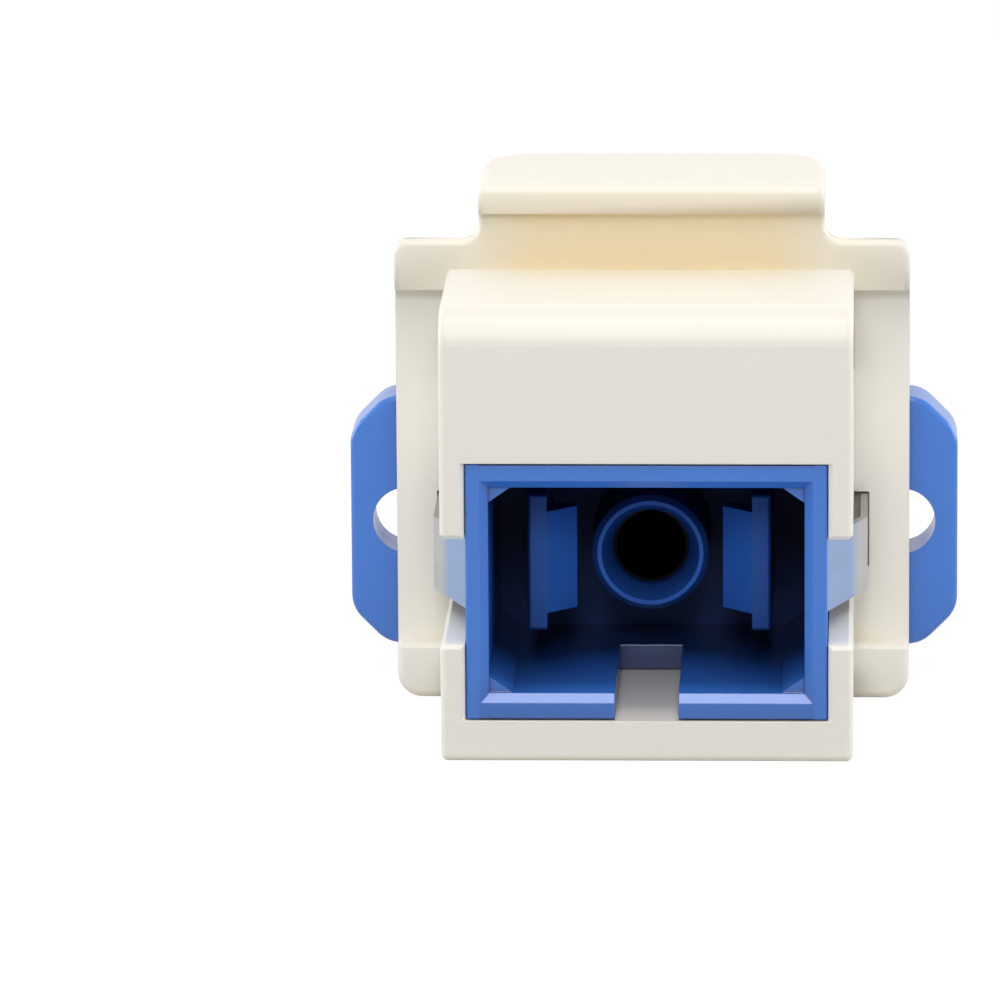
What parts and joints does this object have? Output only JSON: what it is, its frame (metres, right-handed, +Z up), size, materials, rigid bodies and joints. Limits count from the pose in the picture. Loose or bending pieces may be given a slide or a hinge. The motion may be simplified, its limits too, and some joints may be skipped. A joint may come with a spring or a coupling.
{
  "type": "keystone fibre coupler",
  "caption": "Snap-in keystone housing with a flanged simplex fibre adapter, an open front port, a capped rear port and a springy release latch.",
  "frame": {"origin": "on the optical axis, at the plane in the middle of the flange where the two ferrules meet", "axes": "+X to the right seen from the front port, +Y from the front port to the rear port, +Z up towards the latch"},
  "size_m": [0.022, 0.0266, 0.019],
  "materials": {
    "ivory_plastic": "moulded, satin",
    "blue_plastic": "moulded, satin",
    "sleeve_bronze": "drawn",
    "clip_steel": "rolled",
    "cap_black": "moulded, soft"
  },
  "bodies": {
    "housing": {"keystone_housing": "ivory_plastic", "adapter_front_shell": "blue_plastic", "adapter_rear_shell": "blue_plastic", "front_hook_insert": "blue_plastic", "rear_hook_insert": "blue_plastic", "alignment_sleeve": "sleeve_bronze", "retaining_clip": "clip_steel"},
    "latch": {"keystone_latch": "ivory_plastic"},
    "cap": {"rear_dust_cap": "cap_black"}
  },
  "joints": [
    {"name": "latch_flex", "type": "hinge", "parent": "housing", "child": "latch", "pos_m": [0, -0.01135, 0.0089], "axis": [-1, 0, 0], "range_deg": [0, 9], "stiffness_Nm_per_rad": 0.05},
    {"name": "dust_cap_pull", "type": "slide", "parent": "housing", "child": "cap", "axis": [0, 1, 0], "range_m": [0, 0.02]}
  ]
}
